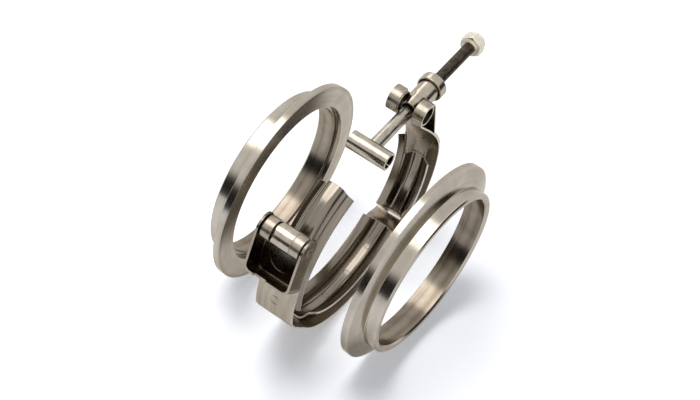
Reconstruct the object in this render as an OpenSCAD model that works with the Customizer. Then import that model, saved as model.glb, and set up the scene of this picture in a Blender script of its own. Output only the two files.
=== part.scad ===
// V-band flange assembly: two weld flanges and the open quick release clamp that joins them.
// The pipe axis runs along +X through the origin, +Z is up, and the three rings stand on one level.
// The origin is the centre of the left flange's weld end. Angles in the ring plane run from +Y to +Z.

/* [Flanges] */
// Outer diameter of the flange rim
flange_od = 100; // [90:1:110]
// Width of the plain land on the rim
rim_land = 3.3; // [2.5:0.1:4]
// Slope of the rim's clamping taper, away from the sealing face
taper_angle = 18; // [14:1:22]
// Height of the rim over the weld neck
rim_height = 8.5; // [7:0.1:10]
// Wall of the weld neck
neck_wall = 3.4; // [2.8:0.1:4]
// Distance from the sealing face to the end of the weld neck
flange_length = 12; // [10:0.5:15]
// Step from the pipe bore out to the gasket recess in the sealing face
recess_step = 1.8; // [1:0.1:2.4]
// Depth of the gasket recess
recess_depth = 2.4; // [1:0.1:3]
// Chamfer at the outer edge of the weld neck
neck_chamfer = 0.6; // [0.3:0.1:1]
// Small chamfers at the rim corners
rim_chamfer = 0.3; // [0.1:0.05:0.5]
// Distance between the two sealing faces as the set stands
face_gap = 66.8; // [62:0.5:76]
// Sideways shift of the right flange
right_shift = 1.7; // [0:0.1:3]
// Turn of the right flange about the vertical, in degrees
right_turn = -2.9; // [-4:0.1:4]

/* [Band] */
// Width of the strap
strap_w = 18.8; // [17.8:0.1:19.4]
// Thickness of the strap
strap_t = 0.8; // [0.6:0.05:1]
// Thickness of the retainer sheet
retainer_t = 0.9; // [0.7:0.05:1.1]
// Gap between the retainer's crown and a clamped rim
rim_play = 0.4; // [0.2:0.05:0.6]
// Half width of the retainer's flat crown
crown_half = 3.4; // [3:0.1:4]
// Half width at the knee of the retainer's leg
knee_half = 5.6; // [5:0.1:6.2]
// Depth of the knee below the crown
knee_depth = 4.4; // [3.5:0.1:5]
// Half width at the lip of the retainer
lip_half = 8.8; // [8:0.1:9.4]
// Depth of the lip below the crown
lip_depth = 6.6; // [5.8:0.1:7.2]
// Length of the bottom retainer, in degrees
bottom_sweep_angle = 87; // [80:1:95]
// Length of the free retainer, in degrees
free_sweep_angle = 78; // [70:1:84]
// Length of the right retainer, in degrees
right_sweep_angle = 40; // [36:2:44]

/* [Latch] */
// Length of the straight strap up to the latch eye
latch_rise = 38; // [34:0.5:42]
// Outer radius of the pin that the latch eyes turn on
latch_pin_r = 4.4; // [4:0.1:4.8]
// Radius of the pin's stepped ends in the keeper ears
pin_end_r = 2.2; // [1.8:0.1:2.6]
// Height of the pin's peened ends outside the ears
pin_head_h = 0.7; // [0.4:0.1:1]
// Width of the slot between the two latch eyes
latch_slot = 10; // [8:0.1:11]
// Sheet thickness of the keeper
keeper_t = 1; // [0.8:0.05:1.2]
// Distance from the pin to the outside of the keeper's rim
keeper_reach = 21.5; // [18:0.5:24]
// Height of the keeper's rim over the pin axis
keeper_rim = 4.8; // [4:0.1:6]
// Depth of the keeper's floor under the pin axis, beside the pin
keeper_floor = 4.9; // [4.6:0.1:5.2]
// Depth of the keeper's floor under the pin axis, at the web
web_floor = 8; // [6:0.1:8.4]
// Distance that the foot of the keeper's web stands out from its rim
web_lean = 5.5; // [3:0.1:6]
// Radius of the ear ends
ear_r = 5.7; // [5.4:0.1:6.4]
// Side clearance between the strap and the keeper's ears
ear_gap = 1; // [0.8:0.05:1.3]
// Width of the notch in the keeper's rim
notch_w = 6; // [5:0.1:8]
// Depth of the notch in the keeper's rim
notch_depth = 1.6; // [1:0.1:2.5]
// Sideways place of the notch, from the middle of the keeper
notch_shift = -3.2; // [-4:0.1:4]

/* [T-bolt] */
// Diameter of the bolt
bolt_d = 6; // [5:0.1:6.4]
// Distance from the T-head's axis to the trunnion axis
head_to_pivot = 30.6; // [28:0.1:36]
// Distance from the trunnion axis to the tip of the bolt
pivot_to_tip = 54.9; // [50:0.1:60]
// Distance from the arms' axis down to the bolt's axis
bolt_drop = 1.8; // [1:0.1:2.2]
// Rise of the bolt's nut end as the clamp stands open, in degrees
bolt_tilt_angle = 2.2; // [0:0.1:5]
// Length of the T-head
head_l = 20; // [17:0.1:20]
// Outer diameter of the T-head
head_d = 8.6; // [8:0.1:9]
// Wall of the rolled T-head
head_wall = 1.2; // [0.9:0.1:1.5]
// Width of the seam along the rolled T-head
head_seam = 0.4; // [0.2:0.1:0.6]
// Outer diameter of the trunnion barrel
barrel_d = 10.2; // [9.4:0.1:10.4]
// Diameter of the barrel's root between the two eyes
root_d = 7.8; // [7.4:0.1:7.8]
// Distance from the trunnion axis to the open end of the barrel
barrel_front = 18.4; // [17:0.1:21]
// Outer radius of the trunnion arms
arm_r = 5.1; // [4.8:0.1:5.4]
// Wall of the hollow trunnion arms
arm_wall = 1.1; // [0.9:0.1:1.4]
// Width of the slot between the two trunnion eyes
pivot_slot = 8.4; // [8.4:0.1:9]
// Distance that the slot is cut back from the trunnion axis
slot_reach = 15; // [13:0.5:17]
// Gap between the barrel and the cup collar round it
collar_gap = 0.3; // [0.2:0.05:0.5]
// Depth of the cup collar
collar_l = 4.6; // [4:0.1:5.5]
// Wall of the cup collar
collar_wall = 1; // [0.8:0.05:1.2]
// Width of the nut across its flats
nut_flats = 10; // [9:0.1:11]
// Height of the nut's hexagon
nut_h = 5; // [4.5:0.1:6]
// Height of the round locking crown on the nut
nut_crown_h = 1.6; // [1.2:0.1:2.4]
// Radial clearance of every running fit
run_gap = 0.05; // [0.03:0.01:0.08]
// Side clearance between pieces that turn beside each other
side_gap = 0.3; // [0.25:0.05:0.4]

/* [Hidden] */
$fn = 96;

rim_r = flange_od / 2;
neck_r = rim_r - rim_height;
bore_r = neck_r - neck_wall;
recess_r = bore_r + recess_step;
taper_l = (rim_r - neck_r) * tan(taper_angle);
clamp_x = flange_length + face_gap / 2;

// The crown of each retainer lies on an arc of this radius, and the strap on top of it.
crown_r = rim_r + rim_play + retainer_t;
strap_mid_r = crown_r + strap_t / 2;
arc_step_angle = 3;
path_r = strap_mid_r / cos(arc_step_angle / 2);
// Angle at which each retainer starts, and the angles at which the strap leaves its arcs.
bottom_start_angle = 226;
free_start_angle = 109;
right_start_angle = 320;
bottom_end_angle = bottom_start_angle + bottom_sweep_angle;
free_end_angle = free_start_angle + free_sweep_angle;
leave_angle = 172;
bottom_lead_angle = 9;
bottom_trail_angle = 4;
right_leave_angle = 372;
// The right retainer's crown ends first: its right leg and its left lip run on by these angles.
right_leg_angle = 6;
lip_tab_angle = 22;
// Place of the trunnion eye: its direction, its distance out, and the strap's heading into it.
pivot_angle = 59.6;
pivot_out = 6.5;
seat_angle = 133;
// Centres of the three arcs: the sprung strap holds them a little apart.
bottom_c = [0.5, crown_r + strap_t - rim_r];
free_c = [-1.2, -5.5];
right_c = [8, -4.5];
bend_handle = 6;
seat_handle = 12;
bend_count = 10;
joint_lap = 0.4;

// Trunnion axis and latch pin axis, in the ring plane.
pivot_eye_r = arm_r + run_gap;
latch_eye_r = latch_pin_r + run_gap;
pivot_c = right_c + (strap_mid_r + pivot_out) * dir(pivot_angle);
seat_p = pivot_c - (pivot_eye_r + strap_t / 2) * dir(seat_angle - 90);
bolt_c = pivot_c - bolt_drop * dir(bolt_tilt_angle + 90);
head_c = bolt_c - head_to_pivot * dir(bolt_tilt_angle);
leave_p = free_c + strap_mid_r * dir(leave_angle);
rise_dir = dir(leave_angle - 90);
latch_c = leave_p + latch_rise * rise_dir + (strap_t / 2 + latch_eye_r) * dir(leave_angle);
tail_press = 0.05;
tail_start = 2;
latch_tail_angle = 15;
pivot_tail_angle = 10;
tail_landing = 5;
tail_tip = 1;
slot_clear = 1.3;
keeper_angle = 250;
keeper_inner = strap_w + 2 * ear_gap;
keeper_outer = keeper_inner + 2 * keeper_t;
floor_start = 6.6;
corner_r = 2;

// The T-head's rolled seam faces this way. The shank ends inside the head, behind the head's axis.
seam_angle = -75;
shank_start = -head_to_pivot - head_d / 4;
// The barrel starts clear of the eyes. The hole in the arms' head side is wider than the bolt,
// and the collar's hole stays clear of it.
barrel_start = pivot_eye_r + strap_t + 2 * side_gap;
mouth_r = bolt_d / 2 + 0.75;
collar_hole_r = bolt_d / 2 + 0.15;
// The nut: how far the bolt's tip stands out of it, its blunt corners, and its narrower crown.
tip_out = -0.4;
corner_cut = 0.15;
crown_inset = 0.6;
crown_lap = 0.5;

function dir(a) = [cos(a), sin(a)];
function unit(v) = v / norm(v);
function left_of(v) = [-v[1], v[0]];

// A cubic curve from p to q, leaving along heading a and arriving along heading b.
function bend(p, a, q, b, h) =
    [for (i = [0 : bend_count]) let (s = i / bend_count, r = 1 - s)
        r * r * r * p + 3 * r * r * s * (p + h * dir(a)) + 3 * r * s * s * (q - h * dir(b)) + s * s * s * q];

// The path moved sideways by d, with mitred corners.
function beside(path, d) =
    let (n = len(path) - 1, dirs = [for (i = [0 : n - 1]) unit(path[i + 1] - path[i])])
    [for (i = [0 : n])
        let (a = left_of(dirs[max(i - 1, 0)]), b = left_of(dirs[min(i, n - 1)]))
        path[i] + d * (a + b) / (1 + a * b)];
function backwards(path) = [for (i = [len(path) - 1 : -1 : 0]) path[i]];

// The ring plane's outline, drawn across the clamp's width.
module across(w, x = clamp_x) {
    translate([x - w / 2, 0, 0]) rotate([90, 0, 90]) linear_extrude(w) children();
}

// A profile of radius and place along X, turned about the X axis.
module turned(from = 0, span = 360) {
    rotate([90, 0, 90]) rotate([0, 0, from]) rotate_extrude(angle = span, $fn = 180) children();
}

module strip(path, t) {
    polygon(concat(beside(path, t / 2), backwards(beside(path, -t / 2))));
}

module ring(c, r_in, t) {
    translate(c) difference() {
        circle(r = r_in + t);
        circle(r = r_in);
    }
}

// One weld flange, its sealing face at x = 0 and its neck towards +X.
module weld_flange() {
    turned() polygon([
        [recess_r, 0],
        [rim_r - rim_chamfer, 0],
        [rim_r, rim_chamfer],
        [rim_r, rim_land],
        [neck_r, rim_land + taper_l],
        [neck_r, flange_length - neck_chamfer],
        [neck_r - neck_chamfer, flange_length],
        [bore_r, flange_length],
        [bore_r, recess_depth],
        [recess_r, recess_depth]]);
}

module left_flange() {
    color("#b9b1a6") translate([flange_length, 0, 0]) mirror([1, 0, 0]) weld_flange();
}

module right_flange() {
    color("#b9b1a6") translate([flange_length + face_gap, right_shift, 0]) rotate([0, 0, right_turn])
        weld_flange();
}

// A V-shaped retainer segment: flat crown, two legs and flared lips.
// The points first to last of its outline can be chosen, for an end where only a part runs on.
retainer_outer = [
    [crown_r - lip_depth, -lip_half],
    [crown_r - knee_depth, -knee_half],
    [crown_r, -crown_half],
    [crown_r, crown_half],
    [crown_r - knee_depth, knee_half],
    [crown_r - lip_depth, lip_half]];
retainer_inner = beside(retainer_outer, retainer_t);
function part_of(path, first, last) = [for (i = [first : last]) path[i]];
module retainer(c, from, span, first = 0, last = 5) {
    color("#a79f95") translate([clamp_x, c[0], c[1]]) turned(from, span)
        polygon(concat(
            part_of(retainer_outer, first, last),
            backwards(part_of(retainer_inner, first, last))));
}

module free_retainer() retainer(free_c, free_start_angle, free_sweep_angle);
module bottom_retainer() retainer(bottom_c, bottom_start_angle, bottom_sweep_angle);
module right_retainer() {
    retainer(right_c, right_start_angle, right_sweep_angle);
    retainer(right_c, right_start_angle, right_sweep_angle + right_leg_angle, first = 3);
    retainer(right_c, right_start_angle, right_sweep_angle + lip_tab_angle, last = 1);
}

// The strap's path in the ring plane, from the latch eye round to the trunnion eye.
function arc_path(c, from, to) =
    let (n = ceil((to - from) / arc_step_angle))
    [for (i = [0 : n]) c + path_r * dir(from + (to - from) * i / n)];
function inner_points(path) = [for (i = [1 : len(path) - 2]) path[i]];
function between(c_a, a, c_b, b, h) =
    inner_points(bend(c_a + strap_mid_r * dir(a), a + 90, c_b + strap_mid_r * dir(b), b + 90, h));
bottom_lead = bottom_start_angle - bottom_lead_angle;
bottom_trail = bottom_end_angle - bottom_trail_angle;
seat_path = bend(right_c + strap_mid_r * dir(right_leave_angle), right_leave_angle + 90,
                 seat_p, seat_angle, seat_handle);
strap_path = concat(
    [leave_p + (latch_rise + joint_lap) * rise_dir],
    arc_path(free_c, leave_angle, free_end_angle),
    between(free_c, free_end_angle, bottom_c, bottom_lead, bend_handle),
    arc_path(bottom_c, bottom_lead, bottom_trail),
    between(bottom_c, bottom_trail, right_c, right_start_angle, bend_handle),
    arc_path(right_c, right_start_angle, right_leave_angle),
    inner_points(seat_path),
    [seat_p, seat_p + joint_lap * dir(seat_angle)]);

// The strap's folded ends leave the eyes and lie on the strap's outside, pressed into it a little.
tail_rise = strap_t - tail_press;
latch_tail_path = concat(
    [leave_p + tail_rise * dir(leave_angle) + (latch_rise - tail_start) * rise_dir],
    [for (a = [leave_angle : arc_step_angle : leave_angle + latch_tail_angle])
        free_c + (path_r + tail_rise) * dir(a)]);
pivot_tail_path = concat(
    [pivot_c + (pivot_eye_r + strap_t / 2) * dir(pivot_tail_angle)],
    backwards(part_of(beside(seat_path, -tail_rise), tail_tip, tail_landing)));

module band_strap() {
    color("#b3aba0") difference() {
        union() {
            across(strap_w) strip(strap_path, strap_t);
            across(strap_w) strip(latch_tail_path, strap_t);
            difference() {
                across(strap_w) strip(pivot_tail_path, strap_t);
                across(barrel_d + 2 * side_gap) translate(pivot_c) circle(r = slot_reach);
            }
            across(strap_w) translate(latch_c) circle(r = latch_eye_r + strap_t);
            across(strap_w) translate(pivot_c) circle(r = pivot_eye_r + strap_t);
        }
        across(2 * strap_w) translate(latch_c) circle(r = latch_eye_r);
        across(2 * strap_w) translate(pivot_c) circle(r = pivot_eye_r);
        across(pivot_slot) translate(pivot_c) circle(r = slot_reach);
        across(latch_slot) translate(latch_c) circle(r = latch_eye_r + strap_t + slot_clear);
    }
}

module latch_pin() {
    color("#c9c4bb") {
        across(strap_w) translate(latch_c) circle(r = latch_pin_r);
        across(keeper_outer + 2 * pin_head_h) translate(latch_c) circle(r = pin_end_r);
    }
}

// The rolled sleeve that fills the slot between the latch eyes.
module latch_sleeve() {
    color("#d0cbc3") across(latch_slot - 2 * side_gap) ring(latch_c, latch_eye_r, strap_t);
}

// Side view of the folded floor and web, the middle of the sheet: along Y from the pin, up to the rim.
floor_p = [floor_start, keeper_t / 2 - keeper_floor];
foot_p = [keeper_reach + web_lean - keeper_t / 2, keeper_t / 2 - web_floor];
rim_p = [keeper_reach - keeper_t / 2, keeper_rim];
floor_angle = atan2(foot_p[1] - floor_p[1], foot_p[0] - floor_p[0]);
web_angle = atan2(rim_p[1] - foot_p[1], rim_p[0] - foot_p[0]);
fold_angle = (web_angle - floor_angle) / 2;
fold_l = corner_r * tan(fold_angle);
fold_path = concat(
    [floor_p],
    bend(foot_p - fold_l * dir(floor_angle), floor_angle,
         foot_p + fold_l * dir(web_angle), web_angle, 4 / 3 * corner_r * tan(fold_angle / 2)),
    [rim_p]);

module ear_outline() {
    difference() {
        union() {
            circle(r = ear_r);
            polygon(concat([[0, -ear_r], [0, ear_r]], backwards(fold_path)));
        }
        circle(r = pin_end_r + run_gap);
    }
}

module keeper() {
    color("#8f877c") mirror_keeper() {
        for (side = [-1, 1])
            across(keeper_t, side * (keeper_inner + keeper_t) / 2) ear_outline();
        difference() {
            across(keeper_outer, 0) strip(fold_path, keeper_t);
            translate([notch_shift - notch_w / 2, keeper_reach - 2 * keeper_t, keeper_rim - notch_depth])
                cube([notch_w, 3 * keeper_t, 2 * notch_depth]);
        }
    }
}

module mirror_keeper() {
    translate([clamp_x, latch_c[0], latch_c[1]]) rotate([keeper_angle, 0, 0]) mirror([0, 0, 1]) children();
}

// The bolt's own frame: its axis along +Z, from a place along the bolt counted from the arms.
module bolt_place(from) {
    translate([clamp_x, bolt_c[0], bolt_c[1]]) rotate([bolt_tilt_angle - 90, 0, 0])
        translate([0, 0, from]) children();
}

module along_bolt(from, l, r) {
    bolt_place(from) cylinder(r = r, h = l);
}

// Barrel and hollow cross arms, formed from one sheet.
module trunnion() {
    arms_l = strap_w - 2 * side_gap;
    color("#c2bcb3") difference() {
        union() {
            across(arms_l) translate(pivot_c) difference() {
                circle(r = arm_r);
                circle(r = arm_r - arm_wall);
            }
            along_bolt(0, barrel_start + joint_lap, root_d / 2);
            along_bolt(barrel_start, barrel_front - barrel_start, barrel_d / 2);
        }
        along_bolt(-barrel_front, 3 * barrel_front, bolt_d / 2 + run_gap);
        along_bolt(-barrel_front, barrel_front, mouth_r);
    }
}

module cup_collar() {
    inner_r = barrel_d / 2 + collar_gap;
    color("#aaa297") difference() {
        along_bolt(barrel_front - collar_l + collar_wall, collar_l, inner_r + collar_wall);
        along_bolt(barrel_front - collar_l, collar_l, inner_r);
        along_bolt(barrel_front - collar_l, 3 * collar_l, collar_hole_r);
    }
}

module t_bolt_shank() {
    color("#b7b0a6") along_bolt(shank_start, pivot_to_tip - shank_start, bolt_d / 2);
}

module t_head() {
    color("#b5aea4") difference() {
        across(head_l) translate(head_c) difference() {
            circle(r = head_d / 2);
            circle(r = head_d / 2 - head_wall);
            rotate(seam_angle) translate([0, -head_seam / 2]) square([head_d, head_seam]);
        }
        along_bolt(shank_start, head_to_pivot, bolt_d / 2);
    }
}

module lock_nut() {
    corner_d = nut_flats / cos(30);
    start = pivot_to_tip - nut_h - nut_crown_h - tip_out;
    color("#e3dccd") difference() {
        union() {
            intersection() {
                bolt_place(start) cylinder(d = corner_d, h = nut_h, $fn = 6);
                along_bolt(start, nut_h, corner_d / 2 - corner_cut);
            }
            along_bolt(start + nut_h - crown_lap, nut_crown_h + crown_lap, nut_flats / 2 - crown_inset);
        }
        along_bolt(start - nut_h, 4 * nut_h, bolt_d / 2 + run_gap);
    }
}

left_flange();
right_flange();
band_strap();
free_retainer();
bottom_retainer();
right_retainer();
latch_pin();
latch_sleeve();
keeper();
trunnion();
cup_collar();
t_bolt_shank();
t_head();
lock_nut();
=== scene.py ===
# %% [markdown]
# # V-band flange assembly
# Two weld flanges stand on edge with an open band clamp between them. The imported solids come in
# as a fixed frame. This notebook dresses them: rolled and pressed pieces get their real bend
# radii, the bolt gets its thread, and every surface gets a stainless finish. All sizes are written
# in millimetres, because the frame is in metres and the pieces are small.

# %% Load the frame
import math
import bpy
import bmesh
from mathutils import Matrix, Vector


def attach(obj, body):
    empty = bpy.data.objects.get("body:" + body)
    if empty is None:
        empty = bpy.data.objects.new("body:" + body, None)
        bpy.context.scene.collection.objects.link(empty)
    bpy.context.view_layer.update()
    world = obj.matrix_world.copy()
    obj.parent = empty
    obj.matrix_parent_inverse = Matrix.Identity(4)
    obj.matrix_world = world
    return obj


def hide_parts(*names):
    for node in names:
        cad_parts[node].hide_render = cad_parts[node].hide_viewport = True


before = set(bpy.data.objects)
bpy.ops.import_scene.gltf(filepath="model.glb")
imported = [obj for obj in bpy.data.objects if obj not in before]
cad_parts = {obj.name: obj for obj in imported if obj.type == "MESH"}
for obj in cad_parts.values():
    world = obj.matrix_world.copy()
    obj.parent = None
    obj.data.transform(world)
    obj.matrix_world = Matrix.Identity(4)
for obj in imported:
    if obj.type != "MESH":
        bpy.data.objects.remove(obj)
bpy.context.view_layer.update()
mm = 0.001
scene = bpy.context.scene
print("frame nodes:", sorted(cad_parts))

# %% [markdown]
# ## Camera
# The camera was found by fitting the two flange rims, whose circles and spacing are known. Its
# three axes go straight into the matrix, so nothing has to be aimed. It comes first, because all
# that follows is judged through it.

# %% Camera
camera_place = (216.1, -339.1, 473.5)
camera_right = (0.8085, 0.5756, 0.1223)
camera_up = (-0.5129, 0.5873, 0.6261)
camera_back = (0.2886, -0.569, 0.7701)
camera_data = bpy.data.cameras.new("photo_camera")
camera_data.sensor_width = 36
camera_data.lens = 70.13
camera_data.clip_start = 0.01
camera = bpy.data.objects.new("photo_camera", camera_data)
camera.matrix_world = Matrix((
    (camera_right[0], camera_up[0], camera_back[0], camera_place[0] * mm),
    (camera_right[1], camera_up[1], camera_back[1], camera_place[1] * mm),
    (camera_right[2], camera_up[2], camera_back[2], camera_place[2] * mm),
    (0, 0, 0, 1)))
scene.collection.objects.link(camera)
scene.camera = camera
scene.view_settings.view_transform = "Standard"
print("camera at", camera_place, "mm, lens", round(camera_data.lens, 2), "mm")

# %% [markdown]
# ## Node helpers
# A material or a geometry tree is a list of nodes and links. One small function adds a node, sets
# its options and fills its inputs, with a value or with the socket that feeds it.

# %% Colour and node helpers
def linear(code):
    """Turns an sRGB hex colour into the linear values that a shader works with."""
    def channel(v):
        return v / 12.92 if v <= 0.04045 else ((v + 0.055) / 1.055) ** 2.4
    return tuple(channel(int(code[i:i + 2], 16) / 255) for i in (0, 2, 4)) + (1.0,)


def add(tree, kind, inputs=None, **settings):
    """Adds one node to a tree, with its settings, and its inputs by name or number."""
    node = tree.nodes.new(kind)
    for key, value in settings.items():
        setattr(node, key, value)
    for key, value in (inputs or {}).items():
        if isinstance(value, bpy.types.NodeSocket):
            tree.links.new(value, node.inputs[key])
        else:
            node.inputs[key].default_value = value
    return node


def blank_tree(owner):
    """Gives a material or the world an empty node tree."""
    owner.use_nodes = True
    owner.node_tree.nodes.clear()
    return owner.node_tree


print("hex 808080 in linear light:", round(linear("808080")[0], 3))

# %% [markdown]
# ## What all the steels share
# Every surface here is bare or plated metal, so each one starts from a metallic shader. Steel gives
# back a little less light at grazing angles than a perfect mirror, and a warm grey tint there says
# so. Two helpers then let patterns run the colour, and the roughness with a fine bump.

# %% Metal helpers
edge_tint = "DAD4CA"
bump_height = 0.05


def new_material(name):
    material = bpy.data.materials.new(name)
    tree = blank_tree(material)
    shader = add(tree, "ShaderNodeBsdfPrincipled", {"Metallic": 1.0, "Specular Tint": linear(edge_tint)})
    add(tree, "ShaderNodeOutputMaterial", {"Surface": shader.outputs["BSDF"]})
    return material, tree, shader


def tint(tree, shader, pattern, span, dark, pale):
    """Lets a pattern run the base colour from dark to pale over its span."""
    tone = add(tree, "ShaderNodeMapRange", {"Value": pattern, "From Min": span[0], "From Max": span[1]})
    colour = add(tree, "ShaderNodeValToRGB", {"Fac": tone.outputs["Result"]})
    for element, code in zip(colour.color_ramp.elements, (dark, pale)):
        element.color = linear(code)
    tree.links.new(colour.outputs["Color"], shader.inputs["Base Color"])


def roughen(tree, shader, pattern, span, low, high, lines, strength):
    """Lets a pattern run the roughness from low to high, and raises the lines as a bump."""
    rough = add(tree, "ShaderNodeMapRange", {
        "Value": pattern, "From Min": span[0], "From Max": span[1], "To Min": low, "To Max": high})
    tree.links.new(rough.outputs["Result"], shader.inputs["Roughness"])
    bump = add(tree, "ShaderNodeBump", {
        "Height": lines, "Strength": strength, "Distance": bump_height * mm})
    tree.links.new(bump.outputs["Normal"], shader.inputs["Normal"])


def object_place(tree, centre=(0, 0, 0), turn=(0, 0, 0)):
    """Object coordinates, centred and turned for one piece."""
    coords = add(tree, "ShaderNodeTexCoord").outputs["Object"]
    return add(tree, "ShaderNodeMapping", {
        "Vector": coords, "Location": tuple(v * mm for v in centre), "Rotation": turn},
        vector_type="TEXTURE").outputs["Vector"]


def about_axis(tree, place):
    """From a place, its part in the ring plane, and a vector of its x and its distance from the axis."""
    split = add(tree, "ShaderNodeSeparateXYZ", {"Vector": place}).outputs
    flat = add(tree, "ShaderNodeCombineXYZ", {"Y": split["Y"], "Z": split["Z"]}).outputs["Vector"]
    radius = add(tree, "ShaderNodeVectorMath", {0: flat}, operation="LENGTH").outputs["Value"]
    return flat, add(tree, "ShaderNodeCombineXYZ", {"X": split["X"], "Y": radius}).outputs["Vector"]


print("grazing tint:", edge_tint, "bump height in mm:", bump_height)

# %% [markdown]
# ## Turned stainless
# The flanges are turned from stainless steel, type 304. The lathe tool leaves fine rings round the
# pipe axis, so light gathers in streaks across them. The pattern is noise over the radius and the
# place along the axis only, which draws rings on faces and on rims alike. A real feed of 0.1 mm is
# too fine to show here, so the rings are about 0.4 mm apart. Broad rings 2.6 mm apart and smears of
# 11 mm from handling shift the tone. The shader's anisotropy draws the highlights out across the
# rings. The bores were cut with a coarser feed. Their darker steel is painted shade and painted dark
# reflection.

# %% Turned stainless
broad_gap, hand_smear, tool_bump, ring_anisotropy = 2.6, 11, 0.04, 0.35


def turned_stainless(name, centre, turn, pale, dark, roughness, ring_gap=0.4):
    material, tree, shader = new_material(name)
    place = object_place(tree, centre, (0, 0, math.radians(turn)))
    along = about_axis(tree, place)[1]
    rings, broad, smears = (
        add(tree, "ShaderNodeTexNoise", {
            "Vector": vector, "Scale": 1 / (gap * mm), "Detail": detail}).outputs["Fac"]
        for vector, gap, detail in (
            (along, ring_gap, 3.0), (along, broad_gap, 2.0), (place, hand_smear, 4.0)))
    mixed = add(tree, "ShaderNodeMath", {0: broad, 1: smears}, operation="ADD").outputs["Value"]
    tint(tree, shader, mixed, (0.75, 1.25), dark, pale)
    roughen(tree, shader, rings, (0.0, 1.0), roughness - 0.04, roughness + 0.04, rings, tool_bump)
    shader.inputs["Anisotropic"].default_value = ring_anisotropy
    tangent = add(tree, "ShaderNodeTangent", direction_type="RADIAL", axis="X")
    tree.links.new(tangent.outputs["Tangent"], shader.inputs["Tangent"])
    return material


flange_length, face_gap, right_shift, right_turn = 12.0, 66.8, 1.7, -2.9
right_face = (flange_length + face_gap, right_shift, 0)
# Each flange has a turned steel and a darker bore steel, which is painted shade.
flange_steels = [
    (turned_stainless("turned stainless, " + side, centre, turn, "BBB3A7", "A0988C", 0.17),
     turned_stainless("bore in painted shade, " + side, centre, turn, "958B7D", "74695C", 0.19, 0.6))
    for side, centre, turn in (("left", (0, 0, 0), 0.0), ("right", right_face, right_turn))]
print("turned steel and painted shade bore steel made for both flanges")

# %% [markdown]
# ## Rolled and pressed stainless
# Strap, retainers and keeper are cut from cold rolled stainless strip. Rolling leaves faint lines
# along the strip, and pressing leaves soft smears and small rubs. Long thin noise gives the lines,
# broad noise the smears. Real rolling lines are a few hundredths of a millimetre apart, too fine to
# show, so they are drawn 0.5 mm apart. On the strap and the retainers the pattern follows the
# curve: it depends on x and on the distance from the axis, and changes only slowly round the ring.

# %% Rolled, pressed and drawn stainless
curve_drift, line_stretch = 0.05, 0.06


def rolled_stainless(name, pale, dark, roughness, smear, curved=False, line_gap=0.5, bump_strength=0.05):
    """Noise line_gap apart gives the lines, and noise of the size smear, in millimetres, the smears."""
    material, tree, shader = new_material(name)
    place = object_place(tree)
    if curved:
        flat, along = about_axis(tree, place)
        slow = add(tree, "ShaderNodeVectorMath", {0: flat, "Scale": curve_drift}, operation="SCALE")
        stretch = add(tree, "ShaderNodeVectorMath", {0: along, 1: slow.outputs["Vector"]}, operation="ADD")
    else:
        stretch = add(tree, "ShaderNodeMapping", {
            "Vector": place, "Scale": (1.0, line_stretch, line_stretch)})
    stretched = stretch.outputs["Vector"]
    lines, smears = (
        add(tree, "ShaderNodeTexNoise", {
            "Vector": vector, "Scale": 1 / (gap * mm), "Detail": detail}).outputs["Fac"]
        for vector, gap, detail in (
            (stretched, line_gap, 4.0), (stretched if curved else place, smear, 3.0)))
    tint(tree, shader, smears, (0.3, 0.7), dark, pale)
    mixed = add(tree, "ShaderNodeMath", {0: lines, 1: smears}, operation="ADD").outputs["Value"]
    roughen(tree, shader, mixed, (0.7, 1.3), roughness - 0.05, roughness + 0.06, lines, bump_strength)
    return material


# Strip as it left the mill: even and softly bright.
strap_steel = rolled_stainless("cold rolled stainless strap", "ADA395", "8F8577", 0.28, 3.0, True)
# The press polished it and drew it into wide ripples, which give long bright and dark streaks.
retainer_steel = rolled_stainless(
    "pressed stainless retainer", "968D81", "6F675C", 0.16, 2.0, True, line_gap=1.6, bump_strength=0.35)
# Deep pressing left it duller and darker, with broad smears of drawing oil.
keeper_steel = rolled_stainless("pressed stainless keeper", "7E7569", "675E53", 0.25, 6.0)
# Drawing through a die left a clear shine.
tube_steel = rolled_stainless("drawn stainless tube", "BDB3A5", "A3998A", 0.21, 3.0)
# Grinding left a fine, silky and paler surface.
bolt_steel = rolled_stainless("ground stainless bolt", "C2BBB0", "9C9488", 0.26, 3.0)
# The thread is coloured dark, which is painted shade between its turns.
thread_shade_steel = rolled_stainless("rolled thread in painted shade", "5E554B", "3A332C", 0.38, 2.0)
# A cut edge is rough, and its pale line round each sheet is a painted highlight.
cut_edge_highlight_steel = rolled_stainless("sheared edge with painted highlight", "E6E0D6", "CFC8BB", 0.38, 2.0)
# The inside of a tube is coloured dark and dull, which is painted shade.
tube_inside_shade_steel = rolled_stainless("inside of a tube in painted shade", "4A443B", "2E2923", 0.42, 2.0)
# Zinc is paler than steel, with a soft gloss.
nut_steel = rolled_stainless("zinc plated nut", "F2ECDF", "D8CFBE", 0.30, 3.0)
print("materials:", len(bpy.data.materials))

# %% [markdown]
# ## Shape helpers
# Almost every piece here is either a profile turned about the pipe axis, or a strip of sheet that
# follows a path in the plane of the ring. Points are (y, z) in that plane, angles run from +Y to +Z
# as in the solids. Corners of a path are rounded to the bend radius of the real sheet.

# %% Paths in the ring plane
curve_step = 1.5


def heading(angle):
    return Vector((math.cos(math.radians(angle)), math.sin(math.radians(angle))))


def arc(centre, radius, start, end, step=2.0):
    """Points on an arc, end included."""
    count = max(2, math.ceil(abs(end - start) / step))
    return [Vector(centre) + radius * heading(start + (end - start) * i / count) for i in range(count + 1)]


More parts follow.
